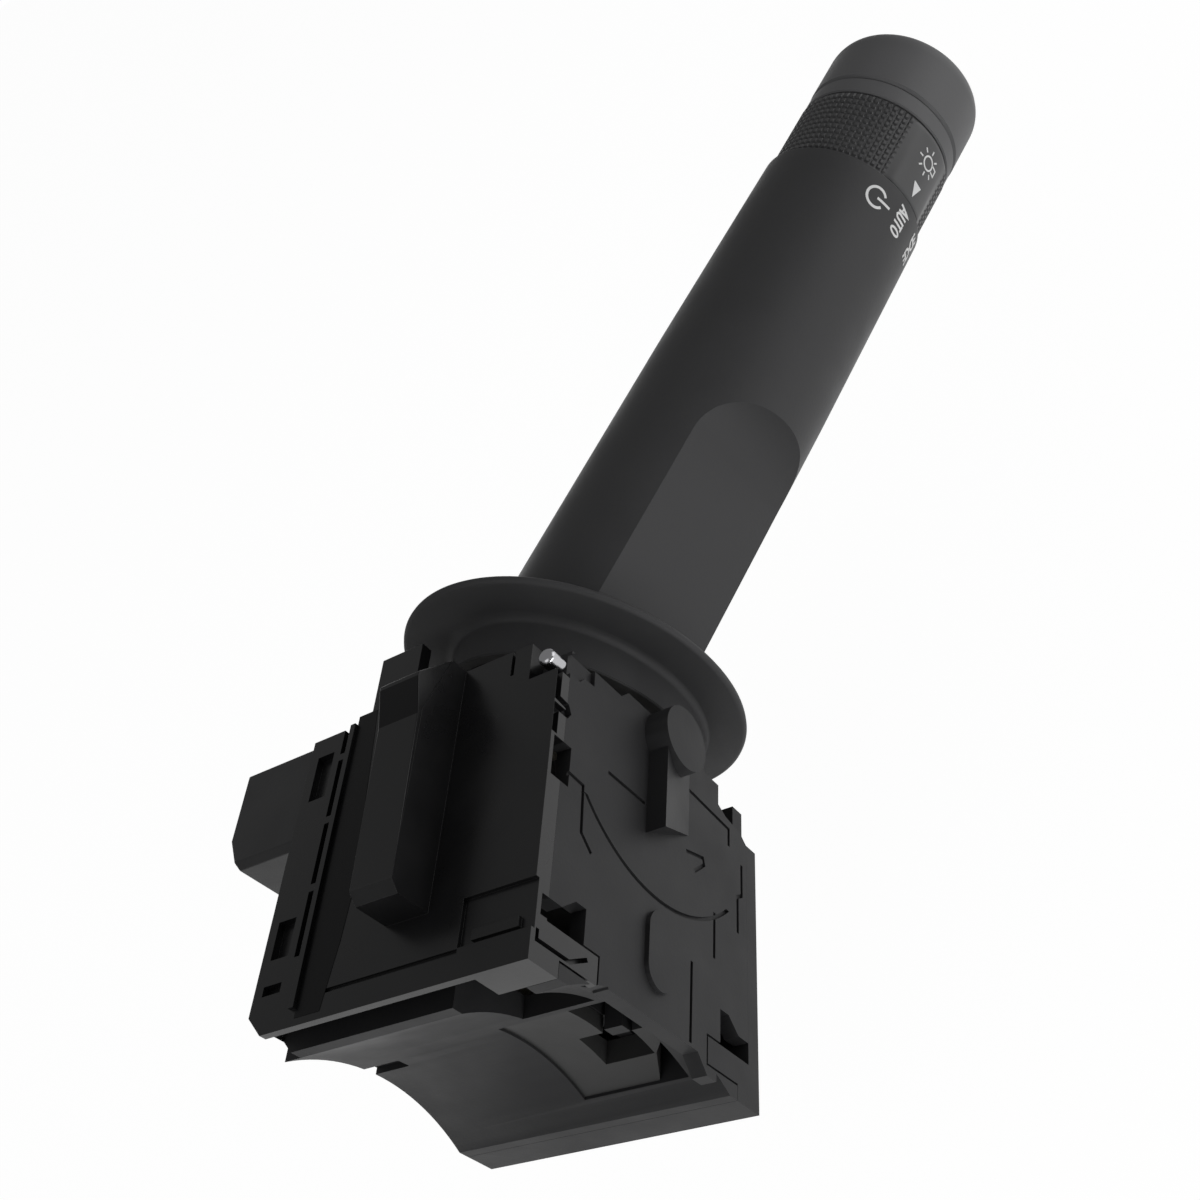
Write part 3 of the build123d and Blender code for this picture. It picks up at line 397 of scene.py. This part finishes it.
tube_heights = [30 + ROW_STEP * k for k in range(12)]
tube_heights += [
    FLAT_END - RUN_OUT_SPAN * (1 - k / RUN_OUT_ROWS) ** 2 for k in range(RUN_OUT_ROWS + 1)
]
tube_heights += [FLAT_END + 1.5 + ROW_STEP * k for k in range(20)]
tube_end = rounded_corner(TUBE_SIZES[-1][1], RING_START - TUBE_END_FILLET, TUBE_END_FILLET, 0, 6)
tube_bores = [
    (TUBE_BORE, RING_START),
    (TUBE_BORE, CORE_STEP),
    (CORE_BORE, CORE_STEP),
    (CORE_BORE, CORE_BORE_LOW),
]
tube_rows = [foot_row(tube_section(TUBE_FOOT, tube_radius(TUBE_FOOT)))]
tube_rows += [level_row(tube_section(h, tube_radius(h)), h) for h in tube_heights]
tube_rows += [level_row(tube_section(h, r), h) for r, h in tube_end]
tube_rows += [level_row(tube_section(RING_START, r), h) for r, h in tube_bores]
tube_rows.append(foot_row(tube_section(RING_START, CORE_BORE)))
tube_points, tube_faces = looped(tube_rows)
stalk_tube = add_piece(
    "stalk_tube_skin", tube_points, tube_faces, "lever", satin_abs, 20
)
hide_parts("stalk_tube")

# Light ring: square pads all round but for the plain window with its symbols
PAD_PITCH = 1.02
PAD_ROWS = 11
PAD_DEPTH = 0.28
# Where a pad's edges lie in its pitch, and how high the surface is there: groove 0, pad 1
PAD_STEPS = ((0.0, 0.0), (0.2, 0.0), (0.36, 1.0), (0.84, 1.0))
PAD_START = RING_START + 0.5
WINDOW_RAISE = 0.5
WINDOW_BLEND = radians(9)
RING_FOOT = RING_START + 0.08
RING_TOP = BAND_START - 0.2
RING_BORE = 9.55
RIB_BORE = 7.65
RIB_LOW = RING_START + 4.0
RIB_HIGH = RING_START + 6.0
pad_columns = round(2 * pi * RING_RADIUS / PAD_PITCH)
# The window's edges lie on the middle of a pad, so no groove runs along them
window_edges = (-5.4 * 2 * pi / pad_columns, 5.6 * 2 * pi / pad_columns)


def window_share(angle):
    """None on the knurling; inside the window it rises from 0 at its edge to 1."""
    turned_angle = (angle + pi) % (2 * pi) - pi
    inside = min(turned_angle - window_edges[0], window_edges[1] - turned_angle)
    t = max(0.0, min(1.0, inside / WINDOW_BLEND))
    return None if inside < 0 else t * t * (3 - 2 * t)


def window_rise(height):
    """How far the window stands out: most beside the tube, nothing beside the band."""
    return WINDOW_RAISE * (BAND_START - height) / RING_LENGTH


def window_radius(height):
    """The window's radius, for the symbols on it."""
    return RING_RADIUS + window_rise(height)


ring_angles = []
for column in range(pad_columns):
    for at, rise in PAD_STEPS:
        ring_angles.append((2 * pi * (column + at) / pad_columns, rise))
# Radius, height, and the pads' rise where the profile crosses them
ring_profile = [
    (RING_BORE, RING_FOOT, None),
    (12.25, RING_FOOT, None),
    (12.45, RING_START + 0.25, None),
]
for row in range(PAD_ROWS):
    for at, rise in PAD_STEPS:
        ring_profile.append((RING_RADIUS, PAD_START + (row + at) * PAD_PITCH, rise))
ring_profile += [
    (12.3, BAND_START - 0.4, None),
    (12.1, RING_TOP, None),
    (RING_BORE, RING_TOP, None),
    (RING_BORE, RIB_HIGH, None),
    (RIB_BORE, RIB_HIGH, None),
    (RIB_BORE, RIB_LOW, None),
    (RING_BORE, RIB_LOW, None),
]
ring_rows = []
for radius, height, rise in ring_profile:
    row_points = []
    for angle, column_rise in ring_angles:
        here = radius
        raised = window_share(angle)
        if raised is not None and radius > RING_BORE:
            here = radius + window_rise(height) * raised
        elif rise is not None:
            here = radius - PAD_DEPTH * (1 - rise * column_rise)
        row_points.append(on_lever(here * cos(angle), here * sin(angle), height))
    ring_rows.append(row_points)
ring_points, ring_faces = looped(ring_rows)
light_ring = add_piece(
    "light_ring_knurled", ring_points, ring_faces, "ring", ring_abs, 30
)
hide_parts("light_ring")

# Band and end cap, both closed over the core
CORE_FIT = 7.52
JOINT_GAP = 0.05
band_profile = [
    (CORE_FIT, BAND_START),
    (12.2, BAND_START),
    (12.4, BAND_START + 0.2),
    (12.4, CAP_START - 0.35),
    (12.1, CAP_START - JOINT_GAP),
    (CORE_FIT, CAP_START - JOINT_GAP),
]
spacer_band = turned("spacer_band_turned", band_profile, "lever", cap_abs)
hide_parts("spacer_band")

CAP_RADIUS = 12.5
CAP_ROUNDING = 3.6
CAP_CROWN = CAP_END + 0.2
CAP_SOCKET_END = CAP_START + 7.0
# Beside the axis and not on it, where the profile's turned points would all be one
NEAR_AXIS = 0.0001
cap_profile = [
    (9.1, CAP_START + JOINT_GAP),
    (12.1, CAP_START + JOINT_GAP),
    (CAP_RADIUS, CAP_START + 0.45),
]
cap_profile += rounded_corner(CAP_RADIUS, CAP_END - CAP_ROUNDING, CAP_ROUNDING, 0, 14)
cap_profile += [
    (6.0, CAP_END + 0.12),
    (2.0, CAP_CROWN),
    (NEAR_AXIS, CAP_CROWN),
    (NEAR_AXIS, CAP_SOCKET_END),
    (CORE_FIT, CAP_SOCKET_END),
    (CORE_FIT, CAP_START + JOINT_GAP),
]
end_cap = turned("end_cap_turned", cap_profile, "lever", cap_abs, sharp_deg=40)
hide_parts("end_cap")

# Collar: a thin oval disc that dishes into a skirt below it
COLLAR_COLUMNS = 176
COLLAR_RIM = 0.6
SKIRT_FILLET = 1.0
FILLET_STEPS = 8
SKIRT_EDGE = 0.2


def collar_row(half_length, half_breadth, shift, height):
    """An oval of points beside the collar's plane, shifted along the collar."""
    row = []
    for k in range(COLLAR_COLUMNS):
        turn = 2 * pi * k / COLLAR_COLUMNS
        row.append(
            COLLAR_CENTRE
            + COLLAR_AXIS * height
            + Vector((0, 0, shift + half_length * cos(turn)))
            + COLLAR_SIDE * (half_breadth * sin(turn))
        )
    return row


def neck_row(height):
    """The neck's hole through the collar, oval because the lever crosses it at a slant."""
    half_breadth = NECK_RADIUS / cos(LEAN - COLLAR_LEAN)
    row = []
    for k in range(COLLAR_COLUMNS):
        turn = 2 * pi * k / COLLAR_COLUMNS
        across = COLLAR_SIDE * (half_breadth * sin(turn))
        point = PIVOTS + Vector((0, 0, NECK_RADIUS * cos(turn))) + across
        reach = (COLLAR_CENTRE + COLLAR_AXIS * height - point).dot(COLLAR_AXIS)
        row.append(point + LEVER_AXIS * (reach / LEVER_AXIS.dot(COLLAR_AXIS)))
    return row


collar_rows = [neck_row(-COLLAR_FACE), neck_row(COLLAR_FACE)]
for angle in range(90, -91, -30):
    grow = COLLAR_RIM * (cos(radians(angle)) - 1)
    collar_rows.append(
        collar_row(
            COLLAR_HALF_LENGTH + grow,
            COLLAR_HALF_BREADTH + grow,
            COLLAR_SHIFT,
            COLLAR_FACE * sin(radians(angle)),
        )
    )
for k in range(FILLET_STEPS + 1):
    angle = radians(90 * k / FILLET_STEPS)
    spread = SKIRT_FILLET * (1 - sin(angle))
    drop = SKIRT_FILLET * (1 - cos(angle))
    # The blend leans from the skirt's middle half of the way to the disc's
    blend = (spread / SKIRT_FILLET) * (COLLAR_SHIFT - SKIRT_SHIFT)
    collar_rows.append(
        collar_row(
            SKIRT_HALF_LENGTH + spread,
            SKIRT_TOP + spread,
            SKIRT_SHIFT + blend * 0.5,
            -COLLAR_FACE - drop,
        )
    )
skirt_end = -COLLAR_FACE - SKIRT_HEIGHT
skirt_rows = [
    (SKIRT_HALF_LENGTH, SKIRT_RIM, skirt_end + SKIRT_EDGE),
    (SKIRT_HALF_LENGTH - SKIRT_EDGE, SKIRT_RIM - SKIRT_EDGE, skirt_end),
    (SKIRT_HALF_LENGTH - SKIRT_WALL, SKIRT_RIM - SKIRT_WALL, skirt_end),
    (SKIRT_HALF_LENGTH - SKIRT_WALL, SKIRT_TOP - SKIRT_WALL, -COLLAR_FACE),
]
collar_rows += [
    collar_row(half_length, half_breadth, SKIRT_SHIFT, height)
    for half_length, half_breadth, height in skirt_rows
]
collar_points, collar_faces = looped(collar_rows)
collar = add_piece(
    "collar_dished", collar_points, collar_faces, "lever", collar_tpe, 40
)
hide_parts("collar")


def prism(name, near, far, material):
    """A flat-sided piece on the housing between two equal outlines."""
    count = len(near)
    faces = [(k, (k + 1) % count, count + (k + 1) % count, count + k) for k in range(count)]
    faces += [tuple(range(count)), tuple(range(2 * count - 1, count - 1, -1))]
    return add_piece(name, near + far, faces, "housing", material, 20)


# The guide rail's outer face: it rises along the rail, flares and ends in a slope
RAIL_SIDES = (-5.43, 0.63)
RAIL_EDGE = 0.12
rail_profile = [
    (6.0, 27.69),
    (26.8, 28.35),
    (31.6, 29.3),
    (32.2, 29.3),
    (37.25, 24.22),
    (27.8, 27.66),
]
rail_outlines = [[Vector((x, y, z)) for x, z in rail_profile] for y in RAIL_SIDES]
guide_rail_lead = prism("guide_rail_lead", *rail_outlines, cover_nylon)
# Painted shade: a second, darker material for the rail's flare
guide_rail_lead.data.materials.append(painted_shade_nylon)
for face in guide_rail_lead.data.polygons:
    # The flare alone faces up and back at this slant; it takes the painted-shade nylon, so its face
    # is painted darker
    if face.normal.z > 0.9 and face.normal.x < -0.1:
        face.material_index = 1
rounding = guide_rail_lead.modifiers.new("edge_radius", "BEVEL")
rounding.width = RAIL_EDGE * MM
rounding.segments = 2
rounding.limit_method = "ANGLE"
rounding.angle_limit = radians(12)

# Painted shade: a thin dark panel beside the slotted strip, darker than the rest of the front cover
SHADE_BAND_SIDES = (21.6, 21.74)
shade_band_outline = [
    (-3.0, 8.4),
    (4.9, 7.3),
    (10.7, 6.9),
    (34.2, 8.8),
    (37.2, 9.1),
    (37.2, 12.17),
    (-3.0, 12.17),
]
shade_band_outlines = [[Vector((x, y, z)) for x, y in shade_band_outline] for z in SHADE_BAND_SIDES]
prism("cover_painted_shade_band", *shade_band_outlines, painted_shade_nylon)

# Printed symbols, as thin raised ink wrapped round the lever
INK_RISE = 0.03
INK_SINK = 0.06
INK_STEP = 0.25


def ribbon(points, width, closed=False):
    """Both edges of a stroke along a line of (x, y) points, with mitred corners."""
    count = len(points)
    pairs = []
    for k, point in enumerate(points):
        before = points[k - 1] if closed or k else None
        after = points[(k + 1) % count] if closed or k < count - 1 else None
        ways = []
        for a, b in ((before, point), (point, after)):
            if a is not None and b is not None:
                way = Vector(b) - Vector(a)
                ways.append(way.normalized())
        mean = sum(ways, Vector((0, 0))).normalized()
        side = Vector((-mean.y, mean.x)) * (width / 2 / max(0.35, mean.dot(ways[0])))
        pairs.append((Vector(point) + side, Vector(point) - side))
    return pairs


def divided(points, closed=False):
    """The same line with no run longer than about INK_STEP."""
    out = []
    ends = points + [points[0]] if closed else points
    for a, b in zip(ends, ends[1:]):
        a, b = Vector(a), Vector(b)
        steps = max(1, int((b - a).length / INK_STEP))
        out += [a + (b - a) * (k / steps) for k in range(steps)]
    return out if closed else out + [Vector(ends[-1])]


def stroke(line, width, closed=False):
    """A drawn line of one width, as rows of two edge points."""
    return ribbon(divided(line, closed), width, closed), closed


def symbol(name, shapes, place, radius, body):
    """Shapes (rows of two edge points, closed) as ink; place turns (x, y) into (arc, height)."""
    points, faces = [], []

    def wrapped(spot, rise):
        arc, height = place(spot.x, spot.y)
        angle = arc / radius(height)
        r = radius(height) + rise
        return on_lever(r * cos(angle), r * sin(angle), height)

    for pairs, closed in shapes:
        widest = max((left - right).length for left, right in pairs)
        columns = max(1, round(widest / INK_STEP) - 1)
        base = len(points)
        for left, right in pairs:
            edge = [left + (right - left) * (c / columns) for c in range(columns + 1)]
            points += [wrapped(spot, INK_RISE) for spot in edge]
            points += [wrapped(spot, -INK_SINK) for spot in reversed(edge)]
        count = len(pairs)
        around = 2 * (columns + 1)
        for k in range(count if closed else count - 1):
            a, b = base + around * k, base + around * ((k + 1) % count)
            for c in range(around):
                d = (c + 1) % around
                faces.append((a + c, a + d, b + d, b + c))
        if not closed:
            last = base + around * (count - 1)
            faces.append(tuple(range(base, base + around)))
            faces.append(tuple(range(last + around - 1, last - 1, -1)))
    return add_piece(name, points, faces, body, white_ink, 20)


def arc_line(x, y, rx, ry, start, end, steps=24):
    """Points along an arc of an oval round (x, y), its angles in degrees."""
    turns = [radians(start + (end - start) * k / steps) for k in range(steps + 1)]
    return [(x + rx * cos(t), y + ry * sin(t)) for t in turns]


def along_text(arc_foot, start_height):
    """Text reads towards the collar, its tops turned to the rear cover's side."""
    return lambda x, y: (arc_foot + y, start_height - x)


# Off position: a ring open at the top, with a bar in the gap
off_shapes = [
    stroke(arc_line(0, 0, 1.62, 1.62, 90 + 34, 90 + 326), 0.42),
    stroke([(0, 0.2), (0, 2.75)], 0.4),
]
symbol("symbol_off", off_shapes, along_text(-5.1, 101.2), tube_radius, "lever")

# Automatic position
LETTER = 0.36
letter_u = [
    (1.42, 2.3),
    (1.42, 0.55),
    (1.52, 0.2),
    (1.83, 0.0),
    (2.14, 0.2),
    (2.24, 0.55),
    (2.24, 2.3),
]
auto_shapes = [
    stroke([(0.05, 0), (0.58, 2.3), (1.11, 0)], LETTER),
    stroke([(0.36, 0.72), (0.80, 0.72)], 0.3),
    stroke(letter_u, LETTER),
    stroke([(2.5, 2.14), (3.5, 2.14)], LETTER),
    stroke([(3.0, 1.95), (3.0, 0)], LETTER),
    stroke(arc_line(4.28, 1.15, 0.46, 1.02, 0, 345, 23), LETTER, True),
]
symbol("symbol_auto", auto_shapes, along_text(-0.75, 103.75), tube_radius, "lever")

# Side lamps: two lamps back to back, each with three rays
LAMPS_MIDDLE = 2.3
LAMP_HEIGHT = 1.15
lamp = [(-1.45, 0.2), (-1.0, 0.2)]
for a in range(15, 180, 15):
    lamp.append((-1.0 + 0.75 * sin(radians(a)), LAMP_HEIGHT - 0.95 * cos(radians(a))))
lamp += [(-1.0, 2.1), (-1.45, 2.1)]
lamp_lines = [(lamp, 0.4, True)]
for y in (0.3, LAMP_HEIGHT, 2.0):
    lamp_lines.append(([(-1.75, y), (-2.35, y + (y - LAMP_HEIGHT) * 0.15)], 0.36, False))
lamp_shapes = []
for mirror in (1, -1):
    for line, width, closed in lamp_lines:
        mirrored = [(LAMPS_MIDDLE + mirror * x, y) for x, y in line]
        lamp_shapes.append(stroke(mirrored, width, closed))
symbol("symbol_side_lamps", lamp_shapes, along_text(5.2, 103.7), tube_radius, "lever")

# Lamp symbol and pointer on the ring's window
BULB = 0.28
BULB_RAY = 0.26
bulb_shapes = [stroke(arc_line(0, 0, 1.08, 1.08, 0, 345, 23), BULB, True)]
for a in (45, 90, 135, 180, 225, 270, 315):
    c, s = cos(radians(a + 90)), sin(radians(a + 90))
    bulb_shapes.append(stroke([(1.62 * c, 1.62 * s), (2.35 * c, 2.35 * s)], BULB_RAY))
bulb_shapes.append(stroke([(-0.55, 1.2), (-0.55, 2.2), (0.55, 2.2), (0.55, 1.2)], BULB_RAY))
symbol("symbol_lamp", bulb_shapes, along_text(0.3, 112.95), window_radius, "ring")
POINTER_LENGTH = 2.4
POINTER_STEPS = 12
pointer_rows = []
for k in range(POINTER_STEPS + 1):
    reach = k / POINTER_STEPS
    pointer_rows.append(
        tuple(Vector((POINTER_LENGTH * reach, side * (1 - reach))) for side in (1, -1))
    )
pointer = [(pointer_rows, False)]
symbol("symbol_pointer", pointer, along_text(0.35, 108.65), window_radius, "ring")

# Floor: matt pale paper, which the camera and the reflections see as a white backdrop
PAPER_LEVEL = -0.075
PAPER_GLOW = 1.1
PAPER_SHARE = 0.86
bpy.ops.mesh.primitive_plane_add(size=4.0, location=(0.03, 0, PAPER_LEVEL))
floor = bpy.context.object
floor.name = "floor"
paper = bpy.data.materials.new("white_paper")
paper.use_nodes = True
tree = paper.node_tree
tree.nodes.clear()
rays = add_node(tree, "ShaderNodeLightPath")
seen = add_node(
    tree,
    "ShaderNodeMath",
    {0: rays.outputs["Is Camera Ray"], 1: rays.outputs["Is Glossy Ray"]},
    operation="MAXIMUM",
)
seen_all = add_node(
    tree,
    "ShaderNodeMath",
    {0: seen.outputs[0], 1: rays.outputs["Is Transmission Ray"]},
    operation="MAXIMUM",
)
# The rest of the share is plain paper, which keeps the object's shadow
glowing = add_node(
    tree, "ShaderNodeMath", {0: seen_all.outputs[0], 1: PAPER_SHARE}, operation="MULTIPLY"
)
matt = add_node(tree, "ShaderNodeBsdfDiffuse", {"Color": linear("#e6e6e6")})
bright = add_node(tree, "ShaderNodeEmission", {"Color": (1, 1, 1, 1), "Strength": PAPER_GLOW})
mix = add_node(
    tree, "ShaderNodeMixShader", {0: glowing.outputs[0], 1: matt.outputs[0], 2: bright.outputs[0]}
)
add_node(tree, "ShaderNodeOutputMaterial", {"Surface": mix.outputs[0]})
floor.data.materials.append(paper)

# Studio: white where the camera sees it, and a dim even light on the object
STUDIO_LIGHT = 0.28
world = bpy.data.worlds.new("studio")
bpy.context.scene.world = world
world.use_nodes = True
tree = world.node_tree
tree.nodes.clear()
rays = add_node(tree, "ShaderNodeLightPath")
seen = add_node(
    tree,
    "ShaderNodeMath",
    {0: rays.outputs["Is Camera Ray"], 1: rays.outputs["Is Transmission Ray"]},
    operation="MAXIMUM",
)
plain = add_node(tree, "ShaderNodeBackground", {"Color": (1, 1, 1, 1), "Strength": 1.0})
dim = add_node(tree, "ShaderNodeBackground", {"Color": (1, 1, 1, 1), "Strength": STUDIO_LIGHT})
mix = add_node(
    tree, "ShaderNodeMixShader", {0: seen.outputs[0], 1: dim.outputs[0], 2: plain.outputs[0]}
)
add_node(tree, "ShaderNodeOutputWorld", {"Surface": mix.outputs[0]})

# Camera at the photograph's viewing angle, and lamps placed by its directions
CAMERA_RIGHT = Vector((0.06, -0.8127, -0.5796))
CAMERA_UP = Vector((0.7457, -0.3495, 0.5673))
CAMERA_BACK = Vector((-0.6636, -0.4663, 0.585))
CAMERA_PLACE = Vector((-65.0, -98.6, 114.0)) * MM
MIDDLE = Vector((60, -20, 0)) * MM


def softbox(name, toward, distance, size, strength):
    """A square lamp that faces the object; toward is in the camera's directions."""
    lamp = bpy.data.lights.new(name, "AREA")
    lamp.size = size
    lamp.energy = strength
    way = CAMERA_RIGHT * toward[0] + CAMERA_UP * toward[1] + CAMERA_BACK * toward[2]
    way.normalize()
    holder = bpy.data.objects.new(name, lamp)
    holder.location = MIDDLE + way * distance
    holder.rotation_mode = "QUATERNION"
    holder.rotation_quaternion = (-way).to_track_quat("-Z", "Y")
    bpy.context.scene.collection.objects.link(holder)


softbox("key", (0.9, -0.6, 0.6), 0.37, 0.35, 2.2)
softbox("top", (1.0, 1.0, 0.3), 0.6, 0.5, 1.0)
softbox("fill", (-0.6, -0.2, 1.0), 0.6, 0.4, 0.5)

lens = bpy.data.cameras.new("camera")
lens.sensor_width = 36.0
lens.lens = 41.1
lens.clip_start = 0.01
camera = bpy.data.objects.new("camera", lens)
directions = Matrix((CAMERA_RIGHT, CAMERA_UP, CAMERA_BACK)).transposed()
camera.matrix_world = Matrix.Translation(CAMERA_PLACE) @ directions.to_4x4()
bpy.context.scene.collection.objects.link(camera)
bpy.context.scene.camera = camera
bpy.context.scene.view_settings.view_transform = "Standard"
